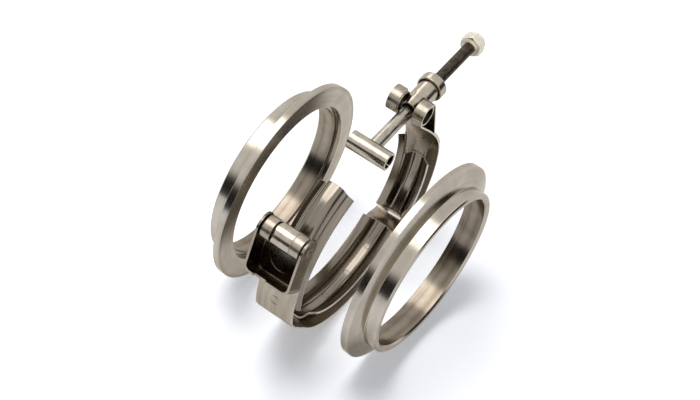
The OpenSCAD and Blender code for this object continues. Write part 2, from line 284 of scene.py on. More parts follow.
def rounded(points, radius, steps=6, closed=False):
    """The path with each inner corner rounded to a radius."""
    pts = [Vector(p) for p in points]
    result = [] if closed else [pts[0]]
    inner = range(len(pts)) if closed else range(1, len(pts) - 1)
    for i in inner:
        here, before, after = pts[i], pts[i - 1], pts[(i + 1) % len(pts)]
        a, b = (before - here).normalized(), (after - here).normalized()
        half = a.angle(b) / 2
        if half > math.radians(88):  # almost straight, so there is nothing to round
            result.append(here)
            continue
        reach = min(radius / math.tan(half), (before - here).length * 0.48, (after - here).length * 0.48)
        start, end = here + a * reach, here + b * reach
        for k in range(steps + 1):
            t = k / steps
            result.append(start * (1 - t) ** 2 + here * 2 * t * (1 - t) + end * t ** 2)
    if not closed:
        result.append(pts[-1])
    return result


print("points on a quarter circle:", len(arc((0, 0), 10, 0, 90)))

# %% Meshes and their finish
def make_object(name, verts, faces, material, smooth_angle=35):
    """An object from points in millimetres, with one material."""
    mesh = bpy.data.meshes.new(name)
    mesh.from_pydata([tuple(c * mm for c in v) for v in verts], [], faces)
    mesh.update()
    obj = bpy.data.objects.new(name, mesh)
    scene.collection.objects.link(obj)
    obj.data.materials.append(material)
    finish_mesh(obj, smooth_angle)
    return obj


def finish_mesh(obj, smooth_angle=35):
    """Points every face outwards, and shades all but the sharp edges smooth."""
    work = bmesh.new()
    work.from_mesh(obj.data)
    bmesh.ops.remove_doubles(work, verts=work.verts, dist=1e-6)
    bmesh.ops.recalc_face_normals(work, faces=work.faces)
    work.to_mesh(obj.data)
    work.free()
    obj.data.shade_smooth()
    obj.data.set_sharp_from_angle(angle=math.radians(smooth_angle))


def apply_modifiers(obj):
    """Bakes the object's modifiers into its mesh."""
    graph = bpy.context.evaluated_depsgraph_get()
    graph.update()
    baked = bpy.data.meshes.new_from_object(obj.evaluated_get(graph))
    old = obj.data
    obj.modifiers.clear()
    obj.data = baked
    bpy.data.meshes.remove(old)
    return obj


def level_normals(obj):
    """Lets the large faces set the normals, so that flat faces look flat beside their rounded edges."""
    modifier = obj.modifiers.new("level normals", "WEIGHTED_NORMAL")
    modifier.keep_sharp = True
    modifier.weight = 50
    apply_modifiers(obj)


def bevel(obj, width, segments=2, angle=40):
    """Breaks the sharp edges, as tumbling or a file does."""
    modifier = obj.modifiers.new("edge rounding", "BEVEL")
    modifier.width = width * mm
    modifier.segments = segments
    modifier.limit_method = "ANGLE"
    modifier.angle_limit = math.radians(angle)
    modifier.harden_normals = False
    apply_modifiers(obj)
    obj.data.shade_smooth()
    obj.data.set_sharp_from_angle(angle=math.radians(50))
    level_normals(obj)


def ride(obj, body, slot, *nodes):
    """Ties a piece to its body and hides the CAD nodes that it stands in for; the slot is not used."""
    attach(obj, body)
    if nodes:
        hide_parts(*nodes)

# %% [markdown]
# ## Flanges
# Each weld flange is one turned ring: a flat sealing face with a gasket recess, a tapered rim that
# the clamp grips, and a thin neck for the pipe. The turner breaks its edges with a file, so the
# corners get small rounds that catch a line of light. The left flange is the right one's mirror.

# %% Flanges
def turned_ring(name, profile, steels, place, turn=0.0, mirror=False, steps=288):
    """A closed profile of (radius, x) turned about the X axis; the second, darker steel is painted shade for
    the bore.
    """
    ring, count = [], len(profile)
    for i in range(steps):
        across = heading(360 * i / steps)
        ring += [Vector((-p[1] if mirror else p[1], p[0] * across[0], p[0] * across[1])) for p in profile]
    matrix = Matrix.Translation(place) @ Matrix.Rotation(math.radians(turn), 4, "Z")
    faces = []
    for i in range(steps):
        nxt = (i + 1) % steps
        for k in range(count):
            after = (k + 1) % count
            faces.append((i * count + k, nxt * count + k, nxt * count + after, i * count + after))
    obj = make_object(name, [matrix @ v for v in ring], faces, steels[0], 40)
    # The bore faces get the second, darker steel: painted shade.
    obj.data.materials.append(steels[1])
    back, axis = matrix.inverted(), matrix.col[0].xyz
    for face in obj.data.polygons:
        radius = (back @ (face.center / mm)).yz.length
        if radius < recess_radius and abs(face.normal.dot(axis)) < 0.5:
            face.material_index = 1
    level_normals(obj)
    return obj


rim_radius, neck_radius, bore_radius, recess_radius = 50.0, 41.5, 38.1, 39.9
rim_land, taper_angle, recess_depth, neck_chamfer, bore_chamfer, filed_edge = 3.3, 18.0, 2.4, 0.6, 0.8, 0.22
taper_length = (rim_radius - neck_radius) * math.tan(math.radians(taper_angle))
flange_profile = rounded([
    (recess_radius, 0), (rim_radius, 0), (rim_radius, rim_land), (neck_radius, rim_land + taper_length),
    (neck_radius, flange_length - neck_chamfer), (neck_radius - neck_chamfer, flange_length),
    (bore_radius + bore_chamfer, flange_length), (bore_radius, flange_length - bore_chamfer),
    (bore_radius, recess_depth), (recess_radius, recess_depth)], filed_edge, 3, closed=True)
left_flange = turned_ring(
    "left_flange_turned", flange_profile, flange_steels[0], (flange_length, 0, 0), mirror=True)
right_flange = turned_ring(
    "right_flange_turned", flange_profile, flange_steels[1], right_face, right_turn)
ride(left_flange, "ring_set", "turned_steel", "left_flange")
ride(right_flange, "ring_set", "turned_steel", "right_flange")
print("flange faces:", len(left_flange.data.polygons))

# %% [markdown]
# ## Sheet that follows a path
# A strip of sheet is drawn as a grid, path points one way and places across the width the other.
# Faces inside a slot are left out, then Solidify gives the wall and a bevel breaks the cut edges.
# The rim that Solidify adds is where the sheet was sheared. It gets the rough, pale steel of a cut edge,
# whose paleness is a painted highlight.

# %% Sheet strip
def grid_faces(rows, width, keep=None):
    """The faces of a grid of points, row by row; keep(row, column) leaves some out."""
    return [(i * width + k, i * width + k + 1, (i + 1) * width + k + 1, (i + 1) * width + k)
            for i in range(rows - 1) for k in range(width - 1) if keep is None or keep(i, k)]


def sheet_strip(name, path, stations, wall, material, keep=None, edge=0.12):
    """Sheet along a ring plane path; stations are places along x, or a function of the path index."""
    rows = [stations(i) if callable(stations) else stations for i in range(len(path))]
    verts = [Vector((x, p[0], p[1])) for row, p in zip(rows, path) for x in row]
    obj = make_object(name, verts, grid_faces(len(path), len(rows[0]), keep), material)
    thicken(obj, wall)
    bevel(obj, edge)
    return obj


def thicken(obj, wall, even=True):
    """Gives an open sheet its wall, on both sides alike; even keeps the wall at sharp bends."""
    work = bmesh.new()
    work.from_mesh(obj.data)
    bmesh.ops.delete(work, geom=[v for v in work.verts if not v.link_faces], context="VERTS")
    work.to_mesh(obj.data)
    work.free()
    modifier = obj.modifiers.new("sheet wall", "SOLIDIFY")
    modifier.thickness = wall * mm
    modifier.offset = 0
    modifier.use_even_offset = even
    # The sheared rim gets the pale edge steel, a painted highlight.
    modifier.material_offset_rim = 1
    obj.data.materials.append(cut_edge_highlight_steel)
    apply_modifiers(obj)

# %% [markdown]
# ## Strap
# The strap is one length of strip. Each end is rolled round its pin and folded back on the outside,
# where spot welds hold it. The eyes are slotted: the trunnion's barrel and the latch's sleeve sit in
# the gaps. The path starts at the folded end beside the latch and ends at the folded end beside
# the trunnion. The band's three arcs have centres of their own, because the open clamp is no true
# circle. A bend is a smooth curve between two points with known directions.

# %% Strap sizes
clamp_x = flange_length + face_gap / 2
strap_width, strap_wall, retainer_wall, rim_play = 18.8, 0.8, 0.9, 0.4
crown_radius = rim_radius + rim_play + retainer_wall
strap_radius = crown_radius + strap_wall / 2
free_centre, bottom_centre, right_centre = Vector((-1.2, -5.5)), Vector((0.5, 2.1)), Vector((8.0, -4.5))
free_arc, bottom_arc, right_arc = (109, 187), (226, 313), (320, 360)
leave_angle, latch_rise, latch_tail_angle = 172, 38.0, 15
bottom_lead, bottom_trail, right_leave = bottom_arc[0] - 9, bottom_arc[1] - 4, 372
pivot_eye, latch_eye, tail_rise = 5.15, 4.45, 0.75
pivot_centre = right_centre + (strap_radius + 6.5) * heading(59.6)
seat_angle, tail_angle = 133, 10
seat_point = pivot_centre - (pivot_eye + strap_wall / 2) * heading(seat_angle - 90)
leave_point = free_centre + strap_radius * heading(leave_angle)
rise = heading(leave_angle - 90)
latch_centre = leave_point + latch_rise * rise + (strap_wall / 2 + latch_eye) * heading(leave_angle)
pivot_slot, slot_reach, latch_slot, latch_reach, tail_slot, tail_slot_lead = 8.4, 15.0, 10.0, 6.55, 10.8, 28
lead_handle, seat_handle = 6.0, 12.0
print("clamp centre at x =", clamp_x, "strap radius", strap_radius)

# %% Strap path
def bend(start, start_heading, end, end_heading, handle, steps=10):
    """A smooth curve that leaves and arrives in given directions; a longer handle bends it later."""
    a, b = start + handle * heading(start_heading), end - handle * heading(end_heading)
    return [start * (1 - t) ** 3 + a * 3 * t * (1 - t) ** 2 + b * 3 * t * t * (1 - t) + end * t ** 3
            for t in (i / steps for i in range(steps + 1))]


def strap_points():
    out = heading(leave_angle)
    eye = latch_eye + strap_wall / 2
    corner = eye - tail_rise
    path = arc(free_centre, strap_radius + tail_rise, leave_angle + latch_tail_angle, leave_angle, curve_step)
    turn_end = latch_centre - rise * (eye + corner)
    straight_top = leave_point + out * tail_rise + rise * ((turn_end - leave_point).dot(rise))
    path += [path[-1].lerp(straight_top, i / 12) for i in range(1, 12)]
    path += arc(turn_end, corner, leave_angle - 180, leave_angle - 90, 9)
    path += arc(latch_centre, eye, leave_angle + 90, leave_angle - 180, 6)[1:]
    path += [path[-1].lerp(leave_point, i / 16) for i in range(1, 16)]
    path += arc(free_centre, strap_radius, leave_angle, free_arc[1], curve_step)
    path += bend(path[-1], free_arc[1] + 90, bottom_centre + strap_radius * heading(bottom_lead),
                 bottom_lead + 90, lead_handle)[1:-1]
    path += arc(bottom_centre, strap_radius, bottom_lead, bottom_trail, curve_step)
    path += bend(path[-1], bottom_trail + 90, right_centre + strap_radius * heading(right_arc[0]),
                 right_arc[0] + 90, lead_handle)[1:-1]
    path += arc(right_centre, strap_radius, right_arc[0], right_leave, curve_step)
    seat_bend = bend(path[-1], right_leave + 90, seat_point, seat_angle, seat_handle, 40)
    path += seat_bend[1:]
    path += arc(pivot_centre, pivot_eye + strap_wall / 2, seat_angle + 90, tail_angle, 6)[1:]
    back = [seat_bend[i] - tail_rise * (seat_bend[i + 1] - seat_bend[i - 1]).normalized().orthogonal()
            for i in range(20, 4, -1)]
    path += [path[-1].lerp(back[0], i / 14) for i in range(1, 14)]
    path += back
    return path


strap_path = strap_points()
strap_length = sum((b - a).length for a, b in zip(strap_path, strap_path[1:]))
print("strap path points:", len(strap_path), "flat length:", round(strap_length, 1))

# %% Strap
tail_index = max(i for i, p in enumerate(strap_path) if (p - seat_point).length < 0.01) + tail_slot_lead


def strap_stations(i):
    """Both edges of the strap and of its slot; the slot is wider in the folded tail."""
    if (strap_path[i] - latch_centre).length < 20:
        slot = latch_slot / 2
    else:
        slot = (tail_slot if i > tail_index else pivot_slot) / 2
    return [clamp_x + x for x in (-strap_width / 2, -slot, slot, strap_width / 2)]


def strap_keep(i, k):
    """The middle column is left out near both eyes."""
    middle = (strap_path[i] + strap_path[i + 1]) / 2
    in_slot = (middle - latch_centre).length < latch_reach or (middle - pivot_centre).length < slot_reach
    return k != 1 or not in_slot


strap = sheet_strip("rolled_strap", strap_path, strap_stations, strap_wall, strap_steel, strap_keep)
ride(strap, "ring_set", "strip_steel", "band_strap")
print("strap faces:", len(strap.data.polygons))

# %% [markdown]
# ## Retainers
# Three pressed channels line the strap and carry the V-shaped seat for the rims. The press rounds
# each bend, so the section is rounded before it is turned, and light runs along the trough in long
# curved streaks.

# %% Retainers
crown_half, knee_half, knee_depth, lip_half, lip_depth = 3.4, 5.6, 4.4, 8.8, 6.6
press_radius, retainer_edge, tab_length, proud_length = 3.2, 0.18, 21.5, 5.5


def channel_section():
    """The middle of the channel's sheet, half a wall inside its outer face, with pressed bends."""
    outer = [Vector(p) for p in (
        (-lip_half, lip_depth), (-knee_half, knee_depth), (-crown_half, 0),
        (crown_half, 0), (knee_half, knee_depth), (lip_half, lip_depth))]
    sides = [(b - a).normalized() for a, b in zip(outer, outer[1:])]
    normals = [Vector((-side[1], side[0])) for side in sides]
    middle = [outer[0] + normals[0] * retainer_wall / 2]
    for p, before, after in zip(outer[1:], normals, normals[1:]):
        middle.append(p + (before + after) * (retainer_wall / 2) / (1 + before.dot(after)))
    middle.append(outer[-1] + normals[-1] * retainer_wall / 2)
    return rounded(middle, press_radius, 8)


def retainer(name, centre, span, run_on=None):
    """A channel from one angle to another; run_on(x) adds degrees to its end at a place across it."""
    section = channel_section()
    steps = math.ceil((span[1] - span[0]) / curve_step)
    verts = []
    for i in range(steps + 1):
        for x, depth in section:
            end = span[1] + (run_on(x) if run_on else 0)
            p = centre + (crown_radius - depth) * heading(span[0] + (end - span[0]) * i / steps)
            verts.append(Vector((clamp_x + x, p[0], p[1])))
    obj = make_object(name, verts, grid_faces(steps + 1, len(section)), retainer_steel, 60)
    thicken(obj, retainer_wall, even=False)
    bevel(obj, retainer_edge)
    return obj


def cut_end(x):
    """The right retainer's end: its left lip runs on as a tab, and its right leg stands a bit proud."""
    if x < -knee_half:
        return tab_length
    return proud_length if x > crown_half else 0.0


for name, node, centre, span, run_on in (
        ("free_retainer_pressed", "free_retainer", free_centre, free_arc, None),
        ("bottom_retainer_pressed", "bottom_retainer", bottom_centre, bottom_arc, None),
        ("right_retainer_pressed", "right_retainer", right_centre, right_arc, cut_end)):
    piece = retainer(name, centre, span, run_on)
    ride(piece, "ring_set", "pressed_steel", node)
    print(name, "faces:", len(piece.data.polygons))

# %% [markdown]
# ## Spot welds
# Spot welds join the retainers and the folded tail to the strap. The electrode leaves a shallow ring
# 3 to 5 mm across. Geometry Nodes set a row of rings on an arc, each turned to lie on the sheet. The
# row ends in Realize Instances and becomes a plain mesh, because an exported model has no instances.

# %% Spot weld rings
def tree_inputs(name, labels):
    """A new geometry tree with number inputs, a material input and a geometry output."""
    tree = bpy.data.node_groups.new(name, "GeometryNodeTree")
    face = tree.interface
    face.new_socket("Geometry", in_out="INPUT", socket_type="NodeSocketGeometry")
    for label in labels:
        face.new_socket(label, in_out="INPUT", socket_type="NodeSocketFloat")
    face.new_socket("Material", in_out="INPUT", socket_type="NodeSocketMaterial")
    face.new_socket("Geometry", in_out="OUTPUT", socket_type="NodeSocketGeometry")
    return tree, add(tree, "NodeGroupInput").outputs


def finish_tree(tree, mesh, material):
    """Makes the instances real, shades them smooth and gives them the material."""
    real = add(tree, "GeometryNodeRealizeInstances", {"Geometry": mesh}).outputs["Geometry"]
    smooth = add(tree, "GeometryNodeSetShadeSmooth", {"Geometry": real, "Shade Smooth": True})
    coloured = add(tree, "GeometryNodeSetMaterial", {
        "Geometry": smooth.outputs["Geometry"], "Material": material})
    add(tree, "NodeGroupOutput", {"Geometry": coloured.outputs["Geometry"]})
    return tree


def grow(name, tree, values):
    """Runs a geometry tree on an empty mesh and keeps the plain result."""
    obj = bpy.data.objects.new(name, bpy.data.meshes.new(name))
    scene.collection.objects.link(obj)
    modifier = obj.modifiers.new("grown", "NODES")
    modifier.node_group = tree
    for item in tree.interface.items_tree:
        if item.in_out == "INPUT" and item.name in values:
            modifier[item.identifier] = values[item.name]
    return apply_modifiers(obj)


def weld_tree():
    """Count rings on an arc about X, each standing on the arc; angles in radians, sizes in metres."""
    tree, given = tree_inputs("spot welds", ("Count", "Start", "Step", "Arc radius", "Ring radius", "Bead"))
    index = add(tree, "GeometryNodeInputIndex").outputs[0]
    angle = add(tree, "ShaderNodeMath", {
        0: index, 1: given["Step"], 2: given["Start"]}, operation="MULTIPLY_ADD").outputs[0]
    cosine, sine = (
        add(tree, "ShaderNodeMath", {0: angle}, operation=name).outputs[0] for name in ("COSINE", "SINE"))
    outward = add(tree, "ShaderNodeCombineXYZ", {"Y": cosine, "Z": sine}).outputs[0]
    place = add(tree, "ShaderNodeVectorMath", {
        0: outward, "Scale": given["Arc radius"]}, operation="SCALE").outputs[0]
    points = add(tree, "GeometryNodePoints", {"Count": given["Count"], "Position": place}).outputs[0]
    tilt = add(tree, "ShaderNodeMath", {0: angle, 1: math.pi / 2}, operation="SUBTRACT").outputs[0]
    turn = add(tree, "ShaderNodeCombineXYZ", {"X": tilt}).outputs[0]
    ring, bead = (
        add(tree, "GeometryNodeCurvePrimitiveCircle", {"Resolution": sides, "Radius": given[name]}).outputs[0]
        for sides, name in ((24, "Ring radius"), (8, "Bead")))
    swept = add(tree, "GeometryNodeCurveToMesh", {"Curve": ring, "Profile Curve": bead}).outputs[0]
    rings = add(tree, "GeometryNodeInstanceOnPoints", {
        "Points": points, "Instance": swept, "Rotation": turn}).outputs[0]
    return finish_tree(tree, rings, given["Material"])

# %% Rows of welds
welds = weld_tree()
weld_bead, tail_ring, small_ring = 0.13, 2.3, 1.5
outer_face, inner_face = strap_radius + strap_wall / 2, crown_radius - retainer_wall
strip, pressed = ("strip_steel", strap_steel), ("pressed_steel", retainer_steel)
for name, centre, radius, start, step, count, ring, (slot, steel) in (
        ("weld_on_latch_tail", free_centre, outer_face + tail_rise, 175.75, 0.0, 1, tail_ring, strip),
        ("welds_on_free_retainer", free_centre, inner_face, 115.0, 19.5, 4, small_ring, pressed),
        ("welds_on_bottom_strap", bottom_centre, outer_face, 242.0, 56.0, 2, small_ring, strip),
        ("welds_on_bottom_retainer", bottom_centre, inner_face, 240.0, 19.5, 4, small_ring, pressed)):
    row = grow(name, welds, {
        "Count": float(count), "Start": math.radians(start), "Step": math.radians(step),
        "Arc radius": radius * mm, "Ring radius": ring * mm, "Bead": weld_bead * mm, "Material": steel})
    row.data.transform(Matrix.Translation(Vector((clamp_x, *centre)) * mm))
    ride(row, "ring_set", slot)
    print(name, "faces:", len(row.data.polygons))

# %% [markdown]
# ## Latch pin and sleeve
# The pin has stepped ends that turn in the keeper's ears, and its tips are peened over with a small
# dished punch mark. The sleeve is a short strip rolled until its edges meet, which leaves a fine
# joint line. The sleeve's left edge was cut a little wavy and leaves a gap beside the left eye, with
# a groove in the pin behind it.

# %% Latch pin
def turned_solid(name, profile, material, place=(0, 0, 0), axis="X", steps=64):
    """A profile of (radius, distance along the axis), turned about X or Y into a closed solid."""
    verts, faces, count = [], [], len(profile)
    for i in range(steps):
        c, s = heading(360 * i / steps)
        for r, along in profile:
            verts.append(Vector((along, r * c, r * s)) if axis == "X" else Vector((r * s, along, r * c)))
    for i in range(steps):
        nxt = (i + 1) % steps
        for k in range(count - 1):
            faces.append((i * count + k, nxt * count + k, nxt * count + k + 1, i * count + k + 1))
    return make_object(name, [v + Vector(place) for v in verts], faces, material, 40)


keeper_inner, keeper_wall, pin_head = 20.8, 1.0, 0.7
pin_radius, pin_end_radius = 4.4, 2.2
half_body, half_pin = strap_width / 2, keeper_inner / 2 + keeper_wall + pin_head
pin_half = [(0, half_pin - 0.35), (0.5, half_pin - 0.33), (1.1, half_pin - 0.1), (1.5, half_pin),
            (1.9, half_pin - 0.08), (2.15, half_pin - 0.3), (pin_end_radius, half_pin - 0.6),
            (pin_end_radius, half_body), (pin_radius - 0.3, half_body), (pin_radius, half_body - 0.3)]
groove_near, groove_far, groove_bottom = -3.4, -5.2, pin_radius - 1.3
pin_groove = [(pin_radius, groove_near), (groove_bottom, groove_near - 0.1),
              (groove_bottom, groove_far + 0.1), (pin_radius, groove_far)]
pin_profile = pin_half + pin_groove + [(r, -x) for r, x in reversed(pin_half)]
# The pin takes the darker keeper steel, which stands in for the shade on its recessed head: painted shade.
pin = turned_solid("latch_pin_turned", pin_profile, keeper_steel, (clamp_x, *latch_centre))
ride(pin, "ring_set", "formed_steel", "latch_pin")
print("pin faces:", len(pin.data.polygons))

# %% Latch sleeve
sleeve_joint, joint_half = 300, 1.2
sleeve_path = arc(latch_centre, latch_eye + strap_wall / 2,
                  sleeve_joint + joint_half, sleeve_joint + 360 - joint_half, 6)
sleeve_left, sleeve_right, sleeve_wave = -latch_slot / 2 + 1.2, latch_slot / 2 - 0.12, 0.35


def sleeve_stations(i):
    """The left edge waves, and the right one is straight."""
    wave = sleeve_wave * math.sin(math.radians(6 * i * 4)) * math.sin(math.radians(3 * i))
    return [clamp_x + sleeve_left + wave, clamp_x + sleeve_right]


sleeve = sheet_strip("latch_sleeve_rolled", sleeve_path, sleeve_stations, strap_wall, tube_steel)
ride(sleeve, "ring_set", "formed_steel", "latch_sleeve")
print("sleeve faces:", len(sleeve.data.polygons))

# %% [markdown]
# ## Keeper
# The keeper is a pressed cup with two ears. Its plan is a rounded tray, and its side view is cut to
# the ears' outline. It is made the way a toolmaker thinks of it: a full block with rounded corners,
# hollowed by a slightly smaller one, and notched for the bolt. All of it is drawn flat, with the pin
# at the origin and the floor running out along +Y, and then turned into its place on the pin.

# %% Solid block tools
def block_from_outline(name, outline, half_width):
    """A side view outline in (y, z), drawn out across x."""
    count = len(outline)
    verts = [Vector((-half_width, *p)) for p in outline] + [Vector((half_width, *p)) for p in outline]
    faces = [tuple(range(count)), tuple(range(2 * count - 1, count - 1, -1))]
    faces += [(i, (i + 1) % count, count + (i + 1) % count, count + i) for i in range(count)]
    return make_object(name, verts, faces, keeper_steel)


def round_edges(obj, choose, radius, segments=6):
    """Rounds the edges that choose() picks by their two ends."""
    work = bmesh.new()
    work.from_mesh(obj.data)
    edges = [e for e in work.edges if choose(e.verts[0].co / mm, e.verts[1].co / mm)]
    bmesh.ops.bevel(work, geom=edges, offset=radius * mm, segments=segments, profile=0.5, affect="EDGES")
    work.to_mesh(obj.data)
    work.free()


def boolean(obj, other, operation):
    """Cuts, joins or keeps the overlap with another solid, which is used up."""
    modifier = obj.modifiers.new("cut", "BOOLEAN")
    modifier.object = other
    modifier.operation = operation
    modifier.solver = "EXACT"
    apply_modifiers(obj)
    bpy.data.objects.remove(other)
    return obj

# %% Keeper
keeper_reach, keeper_rim, keeper_floor, web_floor, web_lean, ear_radius = 21.5, 4.8, 4.9, 8.0, 5.5, 5.7
floor_start, keeper_angle = 6.6, 250
notch_width, notch_depth, notch_shift, notch_reach, notch_top = 6.0, 1.6, -3.2, 3, 9
hollow_above, hollow_end, hollow_below = 8, -12, 8


def keeper_block(name, wall, side_round, foot_round, ears):
    """The tray's outside (wall 0) or the hollow that is taken out of it; rounds at sides and foot."""
    foot, rim = Vector((keeper_reach + web_lean, -web_floor)), Vector((keeper_reach, keeper_rim))
    start = Vector((floor_start, -keeper_floor))
    along, up = (foot - start).normalized(), (rim - foot).normalized()
    inside = foot + wall * (up - along) / math.sin(along.angle(up))
    start += wall * Vector((-along[1], along[0]))
    rim += wall * Vector((-up[1], up[0])) + (0 if ears else hollow_above) * up
    if ears:
        outline = [ear_radius * heading(a) for a in range(90, 271, 10)] + [start, inside, rim]
    else:
        below = start - 1.2 * along - Vector((0, hollow_below))
        outline = [Vector((hollow_end, hollow_end)), below, start, inside, rim, Vector((hollow_end, rim[1]))]
    block = block_from_outline(name, outline, keeper_inner / 2 + keeper_wall - wall)
    web_edge = {inside.to_tuple(2), rim.to_tuple(2)}
    round_edges(block, lambda a, b: abs(a[0] - b[0]) < 0.01 and web_edge == {
        (round(a[1], 2), round(a[2], 2)), (round(b[1], 2), round(b[2], 2))}, foot_round)
    round_edges(block, lambda a, b: max(a[2], b[2]) < start[1] + 0.01 and min(a[2], b[2]) > inside[1] - 0.01
                and min(a[1], b[1]) > start[0] - 0.01 and max(a[1], b[1]) > start[0] + 0.5, side_round)
    return block


keeper = keeper_block("keeper_pressed", 0.0, 1.9, 3.4, True)
keeper = boolean(keeper, keeper_block("keeper_hollow", keeper_wall, 1.0, 2.4, False), "DIFFERENCE")
notch_floor = keeper_rim - notch_depth
notch = block_from_outline("notch", rounded([
    (keeper_reach - notch_reach, notch_floor), (keeper_reach + notch_reach, notch_floor),
    (keeper_reach + notch_reach, notch_top), (keeper_reach - notch_reach, notch_top)],
    0.2, 2, closed=True), notch_width / 2)
notch.data.transform(Matrix.Translation((notch_shift * mm, 0, 0)))
keeper = boolean(keeper, notch, "DIFFERENCE")
finish_mesh(keeper, 40)
bevel(keeper, 0.14, 2, 50)
print("keeper faces:", len(keeper.data.polygons))

# %% [markdown]
# ## Keeper's bright edges and place
# The upper edges of the cup and the upward faces at the notch get the paler strap steel, a painted highlight.
# A shallow ring is embossed in the cup's floor. It is one ring of the weld tree, with other sizes.

# %% Keeper's edges and place
# Upper rim faces and upward faces at the notch get the paler steel: painted highlight.
keeper.data.materials.append(strap_steel)
for face in keeper.data.polygons:
    at, up = face.center / mm, face.normal
    side_edge = 0.05 < abs(at[0]) - keeper_inner / 2 < keeper_wall - 0.05 and abs(up[0]) < 0.5
    if side_edge and at[1] > 0 and at[2] > -2 or at[2] > notch_floor - 0.2 and up[2] > 0.7:
        face.material_index = 1
keeper_place = (Matrix.Translation(Vector((clamp_x, *latch_centre)) * mm)
                @ Matrix.Rotation(math.radians(keeper_angle), 4, "X") @ Matrix.Diagonal((1, 1, -1, 1)))
keeper.data.transform(keeper_place)
finish_mesh(keeper, 40)
level_normals(keeper)
ride(keeper, "keeper", "pressed_steel", "keeper")
print("faces of bright edges:", sum(face.material_index for face in keeper.data.polygons))

# %% Keeper's embossed ring
emboss_along, emboss_radius, emboss_bead = 14.5, 6.0, 0.35
floor_slope = math.atan2(keeper_floor - web_floor, keeper_reach + web_lean - floor_start)
emboss_level = keeper_wall - keeper_floor + (emboss_along - floor_start) * math.tan(floor_slope)
emboss = grow("keeper_emboss", welds, {
    "Count": 1.0, "Start": math.pi / 2, "Step": 0.0, "Arc radius": 0.0, "Ring radius": emboss_radius * mm,
    "Bead": emboss_bead * mm, "Material": keeper_steel})
emboss.data.transform(keeper_place @ Matrix.Translation((0, emboss_along * mm, emboss_level * mm))
                      @ Matrix.Rotation(floor_slope, 4, "X"))
finish_mesh(emboss, 60)
ride(emboss, "keeper", "pressed_steel")
print("ring faces:", len(emboss.data.polygons))

# %% [markdown]
# ## T-bolt
# The bolt is a plain ground rod with a rolled thread at its nut end. Geometry Nodes draw the thread:
# a spiral is swept with a small triangle, so pitch, length and radius stay adjustable. The core
# under it has the thread's root diameter. M6 has a pitch of 1 mm, and it is drawn at 1.25 mm so that
# the turns still show at the photo's size. Pieces on the bolt are turned about Y, with the trunnion
# at zero, and bolt_frame then puts them in place.

# %% Bolt shank
bolt_radius, head_to_pivot, pivot_to_tip, head_diameter = 3.0, 30.6, 54.9, 8.6
bolt_drop, bolt_tilt = 1.8, 2.2
thread_start, thread_pitch, thread_root = 21.0, 1.25, 2.42
shank_start = -head_to_pivot - head_diameter / 4
bolt_centre = pivot_centre - bolt_drop * heading(bolt_tilt + 90)
bolt_frame = (Matrix.Translation(Vector((clamp_x, *bolt_centre)) * mm)
              @ Matrix.Rotation(math.radians(bolt_tilt), 4, "X"))


def bolt_solid(name, profile, material, steps=72):
    """A solid turned about the bolt's axis; its profile is counted from the trunnion."""
    obj = turned_solid(name, profile, material, axis="Y", steps=steps)
    obj.data.transform(bolt_frame)
    return obj


shank_profile = [
    (0, shank_start), (bolt_radius, shank_start), (bolt_radius, thread_start - 0.8),
    (thread_root, thread_start), (thread_root, pivot_to_tip - 0.5),
    (thread_root - 0.5, pivot_to_tip - 0.05), (0, pivot_to_tip)]
shank = bolt_solid("t_bolt_shank_ground", shank_profile, bolt_steel)
# The threaded part of the core gets the dark thread steel, painted shade.
shank.data.materials.append(thread_shade_steel)
for face in shank.data.polygons:
    if face.center[1] / mm - bolt_centre[0] > thread_start - 0.5:
        face.material_index = 1
ride(shank, "t_bolt", "bolt_steel", "t_bolt_shank")
print("shank faces:", len(shank.data.polygons))

# %% Thread
def thread_tree():
    """A spiral of so many turns along Z, swept with a triangle; sizes in metres."""
    tree, given = tree_inputs("rolled thread", ("Turns", "Height", "Root radius", "Depth", "Pitch"))
    spiral = add(tree, "GeometryNodeCurveSpiral", {
        "Resolution": 40, "Rotations": given["Turns"], "Start Radius": given["Root radius"],
        "End Radius": given["Root radius"], "Height": given["Height"]})
    upright = add(tree, "GeometryNodeSetCurveNormal", {"Curve": spiral.outputs["Curve"]}, mode="Z_UP")
    ridge = add(tree, "GeometryNodeCurvePrimitiveCircle", {"Resolution": 3, "Radius": 1.0})
    size = add(tree, "ShaderNodeCombineXYZ", {"X": given["Depth"], "Y": given["Pitch"], "Z": 1.0})
    shaped = add(tree, "GeometryNodeTransform", {
        "Geometry": ridge.outputs["Curve"], "Scale": size.outputs["Vector"]})
    swept = add(tree, "GeometryNodeCurveToMesh", {
        "Curve": upright.outputs[0], "Profile Curve": shaped.outputs["Geometry"], "Fill Caps": True})
    return finish_tree(tree, swept.outputs["Mesh"], given["Material"])


thread_length = pivot_to_tip - thread_start - 0.6
# The thread is dark all over, painted shade between its turns.
thread = grow("t_bolt_thread", thread_tree(), {
    "Turns": thread_length / thread_pitch, "Height": thread_length * mm,
    "Root radius": (thread_root + 0.08) * mm, "Depth": (bolt_radius - thread_root - 0.1) * mm,
    "Pitch": thread_pitch * 0.5 * mm, "Material": thread_shade_steel})
thread.data.transform(bolt_frame @ Matrix.Translation((0, (thread_start + 0.3) * mm, 0))
                      @ Matrix.Rotation(math.radians(-90), 4, "X"))
finish_mesh(thread, 30)
ride(thread, "t_bolt", "bolt_steel")
print("thread faces:", len(thread.data.polygons))

# %% [markdown]
# ## T-head
# The head is a short piece of thick sheet rolled into a tube, with the shank fixed through its wall.
# A fine seam shows where its edges meet, and its inside gets a dark steel, painted shade.

# %% T-head
def darken_bore(obj, centre, radius):
    """Gives all faces nearer to a tube's axis than a radius the dark steel of painted shade."""
    obj.data.materials.append(tube_inside_shade_steel)
    for face in obj.data.polygons:
        if (face.center.yz / mm - centre).length < radius:
            face.material_index = len(obj.data.materials) - 1


